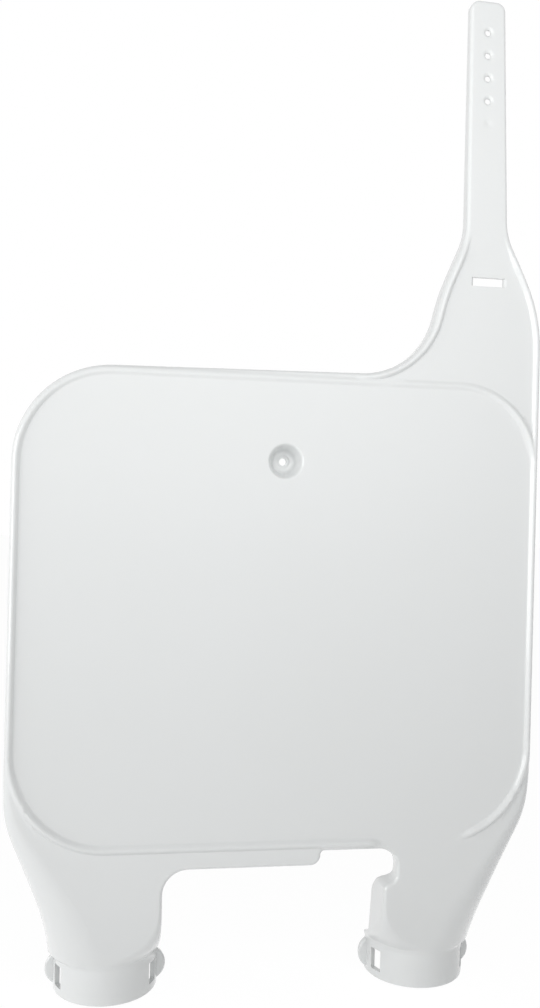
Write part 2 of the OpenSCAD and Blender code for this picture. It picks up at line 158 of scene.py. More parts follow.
CUT_X = HALF_W - LEG_SLOPE * (LEG_TOP - LEG_BEND)   # outer side at the leg's start
MID_LEG = LEG_IN * 1.5                              # parts the edge between the legs from the outer edge

OUTER = [  # corners from the left leg over the top and the strap to the right leg: x, z, radius
    (-CUT_X, -LEG_TOP, 0), (-HALF_W, -LEG_BEND, 60), (-HALF_W, TOP, TOP_R), (FOOT_X, TOP + TOP_RISE, FOOT_R),
    (75.8, 85.6, 100), (88.2, STRAP_ROOT, 32), (87.2, STRAP_TIP, 5), (105.4, STRAP_TIP, 5),
    (109.4, STRAP_ROOT + 1, 32), (HALF_W, 77, 80), (HALF_W, -LEG_BEND, 60), (CUT_X, -LEG_TOP, 0)]
INNER = [  # corners between the legs, from the right leg to the left leg
    (LEG_IN, -LEG_TOP, 0), (LEG_IN, -206.2, 3.8), (60.2, -203.72, 4.6), (60.2, STEP - BOTTOM, 9),
    (22, STEP - BOTTOM, 1.8), (22, -BOTTOM, 5), (-LEG_IN, -BOTTOM, 12), (-LEG_IN, -LEG_TOP, 0)]

SPACING = 2.0                   # millimetres between the stations along an outline
FLAT, ARC, CUT = 14, 16, 10     # columns over the flat band, round each rounding, across each leg's start
LEG_ROWS = 28                   # rings down each leg
SAME_PLACE = 4e-6               # metres within which points of two surfaces are one
CUP_SIDES, HOLE_SIDES = 96, 40  # sides of the cup's and the strap holes' circles


def sizes():
    """The shape's properties in millimetres, by name."""
    shape = bpy.context.scene.board_shape
    return {name: getattr(shape, name) * 1000 for name in shape.__annotations__}


def mix(a, b, t):
    """Straight mix from a to b."""
    return a + (b - a) * t


def ease(a, b, x):
    """Smooth step from 0 at a to 1 at b: 3s^2 - 2s^3 of the share s between them."""
    s = np.clip((np.asarray(x, float) - a) / (b - a), 0, 1)
    return s * s * (3 - 2 * s)


def rounded(a, p, b, r, step=4.0):
    """Stations x, z, nx, nz at equal turns of up to step degrees round a corner: the arc touches both sides,
    and n points into the plastic."""
    a, p, b = (np.array(v[:2], float) for v in (a, p, b))
    d, e = (p - a) / np.linalg.norm(p - a), (b - p) / np.linalg.norm(b - p)
    turn = math.atan2(d[0] * e[1] - d[1] * e[0], d @ e)
    side = 1 if turn < 0 else -1
    start = p - d * r * math.tan(abs(turn) / 2)
    centre = start + np.array([d[1], -d[0]]) * r * side
    n = max(3, math.ceil(math.degrees(abs(turn)) / step))
    angle = turn * np.arange(n + 1) / n
    v = start - centre
    x, z = v[0] * np.cos(angle) - v[1] * np.sin(angle), v[0] * np.sin(angle) + v[1] * np.cos(angle)
    return np.column_stack([centre[0] + x, centre[1] + z, -side * x / r, -side * z / r])


def filled(runs, spacing):
    """One line of stations from several, with the gaps between them filled at the spacing."""
    out = [runs[0]]
    for nxt in runs[1:]:
        s, e = out[-1][-1], nxt[0]
        n = math.ceil(np.hypot(*(e - s)[:2]) / spacing)
        if n > 1:
            out.append(mix(s, e, (np.arange(1, n) / n)[:, None]))
        out.append(nxt)
    return np.vstack(out)


def outline(corners):
    """Stations along a chain of rounded corners between two bare ends."""
    runs = [rounded(*corners[i - 1:i + 2], corners[i][2]) for i in range(1, len(corners) - 1)]
    first, last = runs[0][:1].copy(), runs[-1][-1:].copy()
    first[0, :2], last[0, :2] = corners[0][:2], corners[-1][:2]
    return filled([first] + runs + [last], SPACING)


def down_leg(x, z):
    """Share of the leg's rounding, from 0 above the bend to 1 at the leg's start: s^2 (2 - s), where s is
    the share of the way down."""
    s = np.clip((-z - LEG_ROUND) / (LEG_TOP - LEG_ROUND), 0, 1)
    return np.where(np.abs(x) < MID_LEG, 0, s * s * (2 - s))


def deep_inside(z, mm):
    """Depth that a leg's inner edge gains on its way down, as a smooth step."""
    return (SADDLE_REAR - mm["edge_depth"]) * DEEP_SHARES[0] * ease(-DEEP_FROM, -DEEP_TO, z)


def near(points, line):
    """Distance from each point to a line of points, with the share along it and the side, + to its right."""
    a, b = line[:-1, :2], line[1:, :2]
    ab = b - a
    ap = points[:, None, :2] - a[None]
    t = np.clip((ap * ab).sum(2) / (ab ** 2).sum(1), 0, 1)
    gap = ap - t[..., None] * ab
    dist = np.hypot(gap[..., 0], gap[..., 1])
    i = dist.argmin(1)
    rows = np.arange(len(points))
    side = ab[i, 1] * ap[rows, i, 0] - ab[i, 0] * ap[rows, i, 1]
    return dist[rows, i], i + t[rows, i], np.sign(side)


def arc(cx, cz, r, start, end, step=3.0):
    """Points round a centre from one angle to another, up to step degrees apart."""
    a = np.radians(np.linspace(start, end, math.ceil(abs(end - start) / step) + 1))
    return np.column_stack([cx + r * np.cos(a), cz + r * np.sin(a)])


def ridge_lines(mm, edge):
    """Crest lines of the ridges, clockwise, as x, z, strength and room out to the panel's edge: round the
    field, up the web's left side, and down the right side to the leg."""
    inset = mm["ridge_inset"]
    crest_x, crest_top = HALF_W - inset, TOP - inset
    low_r, strap_r, top_r = 45.5, 39.0, TOP_R - inset
    low_z, low_end = -184.5, 51.5
    top_strength = 0.5
    lines = []

    def add(points, strength):
        room = near(points, edge)[0]
        lines.append(np.column_stack([points, strength, room]))

    def line(*runs):
        padded = [np.column_stack([run, np.zeros((len(run), 2))]) for run in runs]
        return filled(padded, SPACING)[:, :2]

    field = line(np.array([[low_end, low_z]]), arc(-crest_x + low_r, low_z + low_r, low_r, 270, 180),
                 arc(-crest_x + top_r, crest_top - top_r, top_r, 180, 90),
                 arc(crest_x - strap_r, crest_top - strap_r, strap_r, 90, 8))
    # the ridge round the field turns weaker towards the top run, and fades at the lower run's right end
    upper = mix(1, top_strength, ease(20, 36, field[:, 1]))
    lower = ease(low_end + 0.5, low_end - 5.5, field[:, 0] * (field[:, 1] < low_z + 4.5))
    add(field, upper * lower)

    def beside(*corners):
        stations = filled([rounded(*OUTER[i - 1:i + 2], OUTER[i][2]) for i in corners], SPACING)
        return stations[:, :2] + stations[:, 2:] * inset

    web = beside(3, 4, 5)
    fade = FOOT_X - 0.8 * FOOT_R
    foot = mix(top_strength, 1, ease(fade, fade + 14, web[:, 0]))
    add(web, foot * ease(STRAP_ROOT, STRAP_ROOT - 14, web[:, 1]))
    side = line(beside(8, 9), arc(crest_x - low_r, low_z + low_r, low_r, 0, -75))
    turn = np.degrees(np.arctan2(side[:, 1] - low_z - low_r, side[:, 0] - crest_x + low_r))
    add(side, ease(STRAP_ROOT, STRAP_ROOT - 16, side[:, 1]) * ease(-76, -66, turn))
    return lines


def relief(points, lines, mm):
    """Height of the ridges over the face: for each crest line, strength times (1 - u^2)^p, where u is the
    distance from the crest over the half width on that side; the highest one counts. A ridge beside the
    panel's edge runs out into the edge's rounding, and a free one has a foot on both sides."""
    to_edge, margin = 3.0, 0.12
    high = np.zeros(len(points))
    for line in lines:
        dist, share, side = near(points, line)
        steps = np.arange(len(line))
        strength, room = (np.interp(share, steps, line[:, k]) for k in (2, 3))
        free = np.clip((room - mm["ridge_inset"]) / 2, 0, 1)
        inward = side > 0
        out = np.minimum(mix(to_edge, mm["ridge_outside"], free), room - margin)
        width = np.where(inward, mm["ridge_inside"] * mix(0.5, 1, strength) * mix(1, 1.3, free), out)
        power = np.where(inward, 1.5, mix(1.0, 1.5, free))
        u = np.clip(dist / width, 0, 1)
        high = np.maximum(high, strength * mm["ridge_height"] * (1 - u * u) ** power)
    return high


def hole_z(k):
    """Height of the strap's hole k, counted from the tip; the one after the last is only a faint mark."""
    return STRAP_TIP - HOLE_DROP - k * HOLE_PITCH


def mark(points):
    """Depth of the faint mark below the last strap hole: a bell curve of the distance from its middle."""
    z = hole_z(HOLE_COUNT)
    d = np.hypot(points[:, 0] - strap_axis(z), points[:, 1] - z)
    return MARK_DEPTH * np.exp(-(d / MARK_R) ** 2)


def strap_axis(z):
    """Middle of the strap at a height."""
    return STRAP_X - STRAP_LEAN * (z - STRAP_ROOT) / (STRAP_TIP - STRAP_ROOT)


def band(stations, mm, reach):
    """Turned edge: a section of columns (distance in from the edge, depth), carried along the stations.
    From the front face round the edge, over the rim and up to the sheet's back."""
    x, z, nx, nz = stations.T
    between_legs = np.abs(x) < MID_LEG
    down = down_leg(x, z)
    wall = mm["wall"]
    r = mix(mm["edge_round"], SHOULDER_R, down)
    inner_r = np.maximum(r - wall, LEAST_R)
    up_strap = (z - STRAP_ROOT) / (STRAP_TIP - STRAP_ROOT)
    depth = np.where(z > STRAP_ROOT, mix(mm["edge_depth"], mm["tip_depth"], up_strap),
                     mix(mm["edge_depth"], SHOULDER_REAR, down))
    depth = np.where(between_legs, depth + deep_inside(z, mm), depth)
    share = np.linspace(1, 0, FLAT + 1)[:-1]
    a = np.radians(np.linspace(90, 0, ARC + 1))
    d = np.hstack([
        r[:, None] + (reach - r)[:, None] * share, r[:, None] * (1 - np.cos(a)),
        np.broadcast_to([0, SOFT, BEVEL, wall - BEVEL, wall - SOFT, wall], (len(x), 6)),
        wall + inner_r[:, None] * (1 - np.cos(a[::-1]))])
    y = np.hstack([
        np.zeros((len(x), FLAT)), r[:, None] * (1 - np.sin(a)),
        depth[:, None] - np.array([BEVEL, SOFT, 0, 0, SOFT, BEVEL]),
        wall + inner_r[:, None] * (1 - np.sin(a[::-1]))])
    level = ease(-LEG_ROUND, -BOTTOM, z) * ~between_legs
    dx = mix(nx, 1 / np.where(np.abs(nx) < 0.3, 1, nx), level)
    dz = nz * (1 - level)
    return np.stack([x[:, None] + d * dx[:, None], y, z[:, None] + d * dz[:, None]], axis=2)


def grid_faces(rows, columns, wrap=False, skip=None):
    """Quads of a grid of points, numbered row by row; skip is a mask of cells left open."""
    last = rows if wrap else rows - 1
    i, j = np.meshgrid(np.arange(last), np.arange(columns - 1), indexing="ij")
    if skip is not None:
        i, j = i[~skip], j[~skip]
    i, j = i.ravel(), j.ravel()
    k = (i + 1) % rows
    return np.column_stack([i * columns + j, i * columns + j + 1, k * columns + j + 1, k * columns + j])


class Mesh:
    """Points and faces gathered from several surfaces."""

    def __init__(self):
        self.points, self.faces, self.count = [], [], 0

    def add(self, points, faces, caps=()):
        """Takes a surface's points, with its faces and its end caps numbered within it."""
        points = np.asarray(points, float).reshape(-1, 3)
        self.points.append(points)
        self.faces += (np.asarray(faces) + self.count).tolist()
        self.faces += [[v + self.count for v in cap] for cap in caps]
        self.count += len(points)

    def grid(self, points, wrap=False, skip=None):
        """Takes a surface whose points lie in rows and columns."""
        self.add(points, grid_faces(points.shape[0], points.shape[1], wrap, skip))


def inside(points, loop):
    """Whether points lie in a closed loop: an odd count of its sides to their right."""
    a, b = loop, np.roll(loop, -1, axis=0)
    pz, px = points[:, 1][:, None], points[:, 0][:, None]
    over = (a[:, 1] > pz) != (b[:, 1] > pz)
    rise = np.where(b[:, 1] == a[:, 1], 1, b[:, 1] - a[:, 1])
    cross = a[:, 0] + (pz - a[:, 1]) * (b[:, 0] - a[:, 0]) / rise
    return (over & (px < cross)).sum(1) % 2 == 1


def circle(cx, cz, r, n):
    """Points round a circle."""
    a = 2 * np.pi * np.arange(n) / n
    return np.column_stack([cx + r * np.cos(a), cz + r * np.sin(a)])


def face_sheet(loop, holes, extra):
    """Triangles over a loop with holes, through the extra points: a Delaunay triangulation that keeps the
    loops' sides, without what lies outside the loop or in a hole."""
    edges, start = [], 0
    for ring in [loop] + holes:
        n = len(ring)
        edges += np.column_stack([start + np.arange(n), start + (np.arange(n) + 1) % n]).tolist()
        start += n
    points = np.vstack([loop] + holes + [extra])
    made = delaunay_2d_cdt(points.tolist(), edges, [], 0, 1e-5)
    xz, faces = np.array(made[0]), np.array(made[2])
    middle = xz[faces].mean(1)
    keep = inside(middle, loop)
    for hole in holes:
        keep &= ~inside(middle, hole)
    return xz, faces[keep]


def spread(loop, holes, lines):
    """Points to model the face with: rows beside the ridges' crests, a wide grid over the rest, and rings
    round the faint mark."""
    row_step, row_count, row_gap, rim_gap = 0.42, 8, 0.4, 0.35
    wide_step, from_rims, from_ridges, from_mark = 9.0, 4, 5, 4
    closed = [np.vstack([ring, ring[:1]]) for ring in [loop] + holes]

    def clear(points, gap):
        ok = inside(points, loop)
        for ring in closed:
            ok &= near(points, ring)[0] > gap
        for hole in holes:
            ok &= ~inside(points, hole)
        return points[ok]

    rows = np.arange(-row_count, row_count + 1) * row_step
    kept = np.zeros((0, 2))
    for line in lines:
        ahead = np.gradient(line[:, :2], axis=0)
        ahead /= np.linalg.norm(ahead, axis=1)[:, None]
        side = np.column_stack([ahead[:, 1], -ahead[:, 0]])
        points = clear((line[:, None, :2] + rows[None, :, None] * side[:, None]).reshape(-1, 2), rim_gap)
        if len(kept) and len(points):
            gaps = np.hypot(*(points[:, None] - kept[None]).transpose(2, 0, 1)).min(1)
            points = points[gaps > row_gap]
        kept = np.vstack([kept, points])
    x, z = np.meshgrid(np.arange(-120, 125, wide_step), np.arange(-205, 225, wide_step))
    wide = clear(np.column_stack([x.ravel(), z.ravel()]), from_rims)
    for line in lines:
        wide = wide[near(wide, line)[0] > from_ridges]
    middle = np.array([[strap_axis(hole_z(HOLE_COUNT)), hole_z(HOLE_COUNT)]])
    rings = [circle(*middle[0], r, 14) for r in (0.8, 1.6, 2.4, 3.3)]
    wide = wide[np.hypot(*(wide - middle).T) > from_mark]
    return np.vstack([kept, wide] + rings + [middle])


def turned_surface(profile, cx, cz, n):
    """A profile of radius and depth, turned round an axis through the face."""
    a = 2 * np.pi * np.arange(n) / n
    r, y = np.array(profile, float).T
    x, z = cx + np.cos(a)[:, None] * r, cz + np.sin(a)[:, None] * r
    return np.stack([x, np.broadcast_to(y, x.shape), z], axis=2)


def along(path, shares):
    """Points at given shares of a path's length."""
    return np.column_stack([np.interp(shares, shares_of(path), path[:, k]) for k in (0, 1)])


def shares_of(path):
    """Share of the length at each point of a path."""
    total = np.concatenate([[0], np.cumsum(np.hypot(*np.diff(path, axis=0).T))])
    return total / total[-1]


def leg_path(t, inset, mm):
    """Level section of a leg's outer or inner surface at a share t of its length: a straight side, a rounding
    that grows into a quarter of the saddle's tube, the front, and the same on the inner side. Returns its
    bevelled start, its path, its bevelled end, and the shares of the path's length where its stretches meet."""
    leg_r = mm["saddle_radius"] + mm["wall"] + 0.6      # the leg ends a little wider than the saddle's tube
    shoulder, flat = 2.5, 0.1                           # and its outer side stands out by the shoulder
    steps = 60
    run = LEG_SLOPE * (CREASE - LEG_TOP)
    fall = CUT_X - (SADDLE_X + leg_r + shoulder)
    flat_in = inset * mix(SLANT, 1, t)
    xo = CUT_X - run * t + (run - fall) * t * t - flat_in
    xi = mix(LEG_IN, SADDLE_X - leg_r, t) + inset
    y = (SADDLE_Y - leg_r) * t ** 1.6 + inset
    rx = mix(SHOULDER_R * SLANT, leg_r + shoulder - flat, t) - flat_in
    ry = max(mix(SHOULDER_R, leg_r - flat, t) - inset, LEAST_R)
    ri = max(mix(mm["edge_round"], leg_r - flat, t ** 3) - inset, LEAST_R)
    rear = mix(SHOULDER_REAR, SADDLE_REAR, t)
    growth = (SADDLE_REAR - mm["edge_depth"]) * (DEEP_SHARES[1] * t + DEEP_SHARES[2] * ease(0.85, 1, t))
    rear_in = mm["edge_depth"] + deep_inside(-mix(LEG_TOP, CREASE, t), mm) + growth
    a = np.radians(np.linspace(0, 90, steps + 1))
    path = np.vstack([
        [[xo, rear - BEVEL]], np.column_stack([xo - rx * (1 - np.cos(a)), y + ry * (1 - np.sin(a))]),
        np.column_stack([xi + ri * (1 - np.sin(a)), y + ri * (1 - np.cos(a))]), [[xi, rear_in - BEVEL]]])
    sign = 1 if inset == 0 else -1
    start = np.array([[xo - sign * BEVEL, rear], [xo - sign * SOFT, rear - SOFT]])
    end = np.array([[xi + sign * SOFT, rear_in - SOFT], [xi + sign * BEVEL, rear_in]])
    return start, path, end, shares_of(path)[[0, 1, steps + 1, steps + 2, 2 * steps + 2, 2 * steps + 3]]


def saddle_path(r, angles, sign):
    """Half a tube's section round the saddle's axis, from its outer rear edge to its inner one."""
    a = np.radians(angles)
    path = np.column_stack([SADDLE_X + r * np.sin(a), SADDLE_Y - r * np.cos(a)])
    first, last = path[0, 0], path[-1, 0]
    start = np.array([[first - sign * BEVEL, SADDLE_REAR], [first - sign * SOFT, SADDLE_REAR - SOFT]])
    end = np.array([[last + sign * SOFT, SADDLE_REAR - SOFT], [last + sign * BEVEL, SADDLE_REAR]])
    return np.vstack([start, path, end])


def saddle_angles(r, counts, mm):
    """Angles of the saddle's columns at a radius, from its outer rear edge to its inner one, with a tie slot's
    sides on two of the columns on each side."""
    half = math.degrees(math.asin(mm["tie_slot_width"] / 2 / r))
    rear = math.degrees(math.acos(-0.2 / r))
    stops = [rear, TIE_ANGLE + half, TIE_ANGLE - half, half - TIE_ANGLE, -half - TIE_ANGLE, -rear]
    stretches = [np.linspace(stops[i], stops[i + 1], count + 1)[1:] for i, count in enumerate(counts)]
    return np.concatenate([[rear]] + stretches)


def leg_mesh(mesh, front, back, mm):
    """The right leg and its saddle: rings of the same columns from the sheet's cut down to the saddle's end.
    front and back are the cut's own points. Down the leg, a column keeps its share of each stretch of the
    section, and blends over to the saddle's angles. The tie slots are cells left open, with walls."""
    in_r = mm["saddle_radius"]
    out_r = in_r + mm["wall"]
    insets = (0, mm["wall"])
    n, bevel_points = len(front), 2
    cells = n - 1 - 2 * bevel_points
    beside, across = round(cells * 0.11), round(cells * 0.09)       # columns beside and across a tie slot
    counts = (beside, across, cells - 2 * (beside + across), across, beside)
    goal = [saddle_angles(r, counts, mm) for r in (out_r, in_r)]
    slot_start = bevel_points + beside
    open_columns = [(slot_start, slot_start + across), (n - 1 - slot_start - across, n - 1 - slot_start)]

    levels, rings = [-LEG_TOP], [(front, back)]
    first = [shares_of(points[bevel_points:-bevel_points]) for points in (front, back)]
    begin = [leg_path(0, inset, mm)[3] for inset in insets]
    last = [(angles[0] - angles) / (angles[0] - angles[-1]) for angles in goal]
    for t in np.arange(1, LEG_ROWS + 1) / LEG_ROWS:
        ring = []
        for side, inset in enumerate(insets):
            start, path, end, breaks = leg_path(t, inset, mm)
            held = np.interp(first[side], begin[side], breaks)
            ring.append(np.vstack([start, along(path, mix(held, last[side], ease(0.35, 1, t))), end]))
        rings.append(tuple(ring))
        levels.append(-mix(LEG_TOP, CREASE, t))

    slot_top = TIE_Z + mm["tie_slot_height"] / 2
    end = -CREASE - SADDLE_H
    leg_end = rings[-1]
    for z, share, lip in (      # height, share of the tube in the section, rounding of the lower end
            (-CREASE - 0.5, 0.12, 0), (-CREASE - 1.1, 0.45, 0), (-CREASE - 1.7, 0.78, 0), (-CREASE - 2.4, 0.95, 0),
            (-CREASE - 3.2, 1, 0), (slot_top, 1, 0), (slot_top - mm["tie_slot_height"], 1, 0),
            (end + 0.5, 1, 0), (end + 0.15, 1, 0.15), (end, 1, 0.5)):
        tube = (saddle_path(out_r - lip, goal[0], 1), saddle_path(in_r + lip, goal[1], -1))
        rings.append(tuple(mix(leg, round_part, share) for leg, round_part in zip(leg_end, tube)))
        levels.append(z)
    levels = np.array(levels)

    surfaces = []
    for side in (0, 1):
        xy = np.array([ring[side] for ring in rings])
        z = np.broadcast_to(levels[:, None, None], (*xy.shape[:2], 1))
        surfaces.append(np.concatenate([xy, z], axis=2))
    row = int(np.argmin(np.abs(levels - slot_top)))
    skip = np.zeros((len(levels) - 1, n - 1), bool)
    for i, j in open_columns:
        skip[row, i:j] = True
    for mirror in (1, -1):
        outer, inner = (surface * np.array([mirror, 1, 1]) for surface in surfaces)
        mesh.grid(outer, skip=skip)
        mesh.grid(inner, skip=skip)
        for k in (0, -1):
            mesh.grid(np.stack([outer[:, k], inner[:, k]], axis=1))
        mesh.grid(np.stack([outer[-1], inner[-1]], axis=1))
        for i, j in open_columns:
            for level in (row, row + 1):
                mesh.grid(np.stack([outer[level, i:j + 1], inner[level, i:j + 1]], axis=1))
            for column in (i, j):
                mesh.grid(np.stack([outer[row:row + 2, column], inner[row:row + 2, column]], axis=1))


def ear_mesh(mesh, mm):
    """Ears behind the tie slots: a round plate cut off inside the saddle's wall, with a rolled outer edge."""
    r, thick, roll = mm["ear_radius"], 3.5, 1.1
    reach, sunk = 4.1, 1.2          # how far an ear stands out of the saddle's wall, and goes into it
    out_r = mm["saddle_radius"] + mm["wall"]
    centre, cut = out_r + reach - r, out_r - sunk
    half = math.acos((cut - centre) / r)
    a = np.linspace(-half, half, 40)
    turn = np.radians(np.linspace(0, 90, 6))
    front = SADDLE_REAR - thick + roll
    section = [(r - roll + roll * s, front - roll * c) for s, c in zip(np.sin(turn), np.cos(turn))]
    section += [(r - 0.4, SADDLE_REAR - 0.1), (r - 0.8, SADDLE_REAR)]
    radius, y = np.array(section).T
    x, z = centre + np.cos(a)[:, None] * radius, TIE_Z + np.sin(a)[:, None] * radius
    surface = np.stack([np.maximum(x, cut), np.broadcast_to(y, x.shape), z], axis=2)
    number = np.arange(surface[..., 0].size).reshape(x.shape)
    corners = number[[0, 0, -1, -1], [0, -1, -1, 0]]
    caps = [number[:, 0], number[:, -1], number[0], number[-1], corners]
    for side in (1, -1):
        for mirror in (1, -1):
            points = (surface * np.array([side, 1, 1]) + np.array([SADDLE_X, 0, 0])) * np.array([mirror, 1, 1])
            mesh.add(points, grid_faces(*x.shape), [cap.tolist() for cap in caps])


def cup_profile(mm):
    """Section of the screw cup as radius and depth: from its mouth down its wall to the seat, through the
    screw hole, and out over its back."""
    mouth, deep, screw, wall = mm["cup_mouth"], mm["cup_depth"], mm["screw_hole"], mm["wall"]
    seat, outside = 3.1, mouth + CUP_WALL
    return [
        (mouth, 0), (mouth - 0.35, 0.06), (mouth - 0.7, 0.27), (mouth - 1.0, 0.62), (mouth - 1.25, 1.1),
        (mouth - 1.9, 2.8), (5.9, deep - 2), (5.5, deep - 1.2), (5.0, deep - 0.6), (4.3, deep - 0.25),
        (3.5, deep - 0.05), (seat + 0.05, deep), (seat, deep + 0.05), (seat, deep + 0.42), (seat - 0.1, deep + 0.5),
        (screw + SOFT, deep + 0.5), (screw, deep + 0.6), (screw, deep + wall - 0.1), (screw + SOFT, deep + wall),
        (6.5, deep + wall), (7.1, deep + wall - 0.25), (7.5, deep + wall - 0.9), (outside - 0.15, wall + 0.5),
        (outside, wall)]


def strap_hole_profile(mm):
    """Section of a strap hole as radius and depth: a dimple in front, the hole, and a cone behind."""
    hole, wall = mm["strap_hole"], mm["wall"]
    rim = hole + DIMPLE
    return [
        (rim, 0), (rim - 0.35, 0.04), (rim - 0.8, 0.2), (hole + 0.35, 0.55), (hole + 0.08, 0.85), (hole, 1.0),
        (hole, 1.6), (hole + 0.1, 1.75), (hole + CONE - 0.2, wall - SOFT), (hole + CONE, wall)]


def board_mesh():
    """All of the moulding's surfaces, which meet point for point."""
    mm = sizes()
    wall = mm["wall"]
    mesh = Mesh()
    outer, inner = outline(OUTER), outline(INNER)
    edge = np.vstack([outer, inner, outer[:1]])
    lines = ridge_lines(mm, edge)
    down = down_leg(outer[:, 0], outer[:, 1])
    r = mix(mm["edge_round"], SHOULDER_R, down)
    reach = np.where(outer[:, 1] > 60, mix(7.5, 3.4, ease(98, 112, outer[:, 1])), r + mix(6.3, 1.2, down))
    bands = [band(outer, mm, reach), band(inner, mm, np.full(len(inner), 3.2))]
    for made in bands:
        face = made[:, :FLAT + ARC + 1]
        xz = face[..., [0, 2]].reshape(-1, 2)
        face[..., 1] -= relief(xz, lines, mm).reshape(face.shape[:2])
        mesh.grid(made)

    def across(column, n):
        """The loop along a column of both bands, with n more points across each leg's cut."""
        o, i = (made[:, column][:, [0, 2]] for made in bands)
        t = (np.arange(1, n + 1) / (n + 1))[:, None]
        right, left = mix(o[-1], i[0], t), mix(i[-1], o[0], t)
        return np.vstack([o, right, i, left]), right

    def openings(cup_r, slot, hole_r):
        """Loops of all openings in the sheet's front or back."""
        heights = [hole_z(k) for k in range(HOLE_COUNT)]
        return [circle(0, 0, cup_r, CUP_SIDES), slot] + [circle(strap_axis(z), z, hole_r, HOLE_SIDES) for z in heights]

    slot_half = np.array([mm["slot_width"], mm["slot_height"]]) / 2
    slot_corners = np.array([[-1, -1], [1, -1], [1, 1], [-1, 1]])
    front_slot, slot = (np.array([SLOT_X, SLOT_Z]) + slot_corners * (slot_half + [wider, 0]) for wider in (1.0, 0.0))

    loop, front_cut = across(0, CUT)
    holes = openings(mm["cup_mouth"], front_slot, mm["strap_hole"] + DIMPLE)
    xz, faces = face_sheet(loop, holes, spread(loop, holes, lines))
    cup_rim = np.hypot(xz[:, 0], xz[:, 1]) < mm["cup_mouth"] + 0.01
    mesh.add(np.column_stack([xz[:, 0], np.where(cup_rim, 0, mark(xz) - relief(xz, lines, mm)), xz[:, 1]]), faces)

    loop, back_cut = across(-1, CUT + 2 * FLAT)
    holes = openings(mm["cup_mouth"] + CUP_WALL, slot, mm["strap_hole"] + CONE)
    xz, faces = face_sheet(loop, holes, np.zeros((0, 2)))
    mesh.add(np.column_stack([xz[:, 0], np.full(len(xz), wall), xz[:, 1]]), faces)

    mesh.grid(turned_surface(cup_profile(mm), 0, 0, CUP_SIDES), wrap=True)
    for z in [hole_z(k) for k in range(HOLE_COUNT)]:
        mesh.grid(turned_surface(strap_hole_profile(mm), strap_axis(z), z, HOLE_SIDES), wrap=True)
    slot_rings = [np.insert(ring, 1, depth, axis=1) for ring, depth in ((front_slot, 0), (slot, 1.0), (slot, wall))]
    mesh.grid(np.stack(slot_rings, axis=1), wrap=True)

    def level_line(cut, depth):
        """Points of a leg's cut as x and depth."""
        return np.column_stack([cut[:, 0], np.full(len(cut), depth)])

    rear = FLAT + ARC + 4       # columns of a band up to the middle of its rim
    right, left = bands[0][-1, :, :2], bands[1][0, :, :2]
    front = np.vstack([right[:rear][::-1], level_line(front_cut, 0), left[:rear]])
    back = np.vstack([right[rear:], level_line(back_cut, wall), left[rear:][::-1]])
    leg_mesh(mesh, front, back, mm)
    ear_mesh(mesh, mm)
    points = np.vstack(mesh.points)
    points[:, 1] += FRONT_Y
    return points / 1000, mesh.faces


def empty_nodes(owner):
    """Turns a material's or world's nodes on and empties them; returns its nodes and links."""
    owner.use_nodes = True
    owner.node_tree.nodes.clear()
    return owner.node_tree.nodes, owner.node_tree.links


def plastic():
    """White glossy plastic under a clear coat: faint ripple in the bump, and slow changes of its tint and
    roughness."""
    look = bpy.context.scene.board_finish
    made = bpy.data.materials.new("white_plastic")
    nodes, links = empty_nodes(made)
    out = nodes.new("ShaderNodeOutputMaterial")
    shader = nodes.new("ShaderNodeBsdfPrincipled")
    place = nodes.new("ShaderNodeTexCoord")
    links.new(shader.outputs["BSDF"], out.inputs["Surface"])
    constants = {
        "IOR": 1.5, "Subsurface Weight": 0.12, "Subsurface Radius": (1.0, 0.95, 0.9), "Subsurface Scale": 0.0015,
        "Coat Weight": 0.9, "Coat Roughness": 0.09, "Coat IOR": 1.45}
    for socket, value in constants.items():
        shader.inputs[socket].default_value = value

    def noise(scale, detail):
        node = nodes.new("ShaderNodeTexNoise")
        node.inputs["Scale"].default_value = scale
        node.inputs["Detail"].default_value = detail
        links.new(place.outputs["Object"], node.inputs["Vector"])
        return node.outputs["Fac"]

    def bump(height, distance, strength):
        node = nodes.new("ShaderNodeBump")
        node.inputs["Distance"].default_value = distance
        node.inputs["Strength"].default_value = strength
        links.new(height, node.inputs["Height"])
        return node

    tint = nodes.new("ShaderNodeValToRGB")
    for stop, shades in zip(tint.color_ramp.elements, ((0.985, 0.985, 0.98), (1.01, 1.01, 1.012))):
        stop.color = (*(min(c * shade, 1) for c, shade in zip(look.colour, shades)), 1)
    links.new(noise(9, 2), tint.inputs["Fac"])
    links.new(tint.outputs["Color"], shader.inputs["Base Color"])
    gloss = nodes.new("ShaderNodeMapRange")
    gloss.inputs["To Min"].default_value = look.roughness - 0.03
    gloss.inputs["To Max"].default_value = look.roughness + 0.04
    links.new(noise(14, 3), gloss.inputs["Value"])
    links.new(gloss.outputs["Result"], shader.inputs["Roughness"])

    slow = bump(noise(22, 1), look.ripple, 0.5)
    fine = bump(noise(900, 2), look.ripple * 0.06, 0.3)
    links.new(slow.outputs["Normal"], fine.inputs["Normal"])
    links.new(fine.outputs["Normal"], shader.inputs["Normal"])
    return made


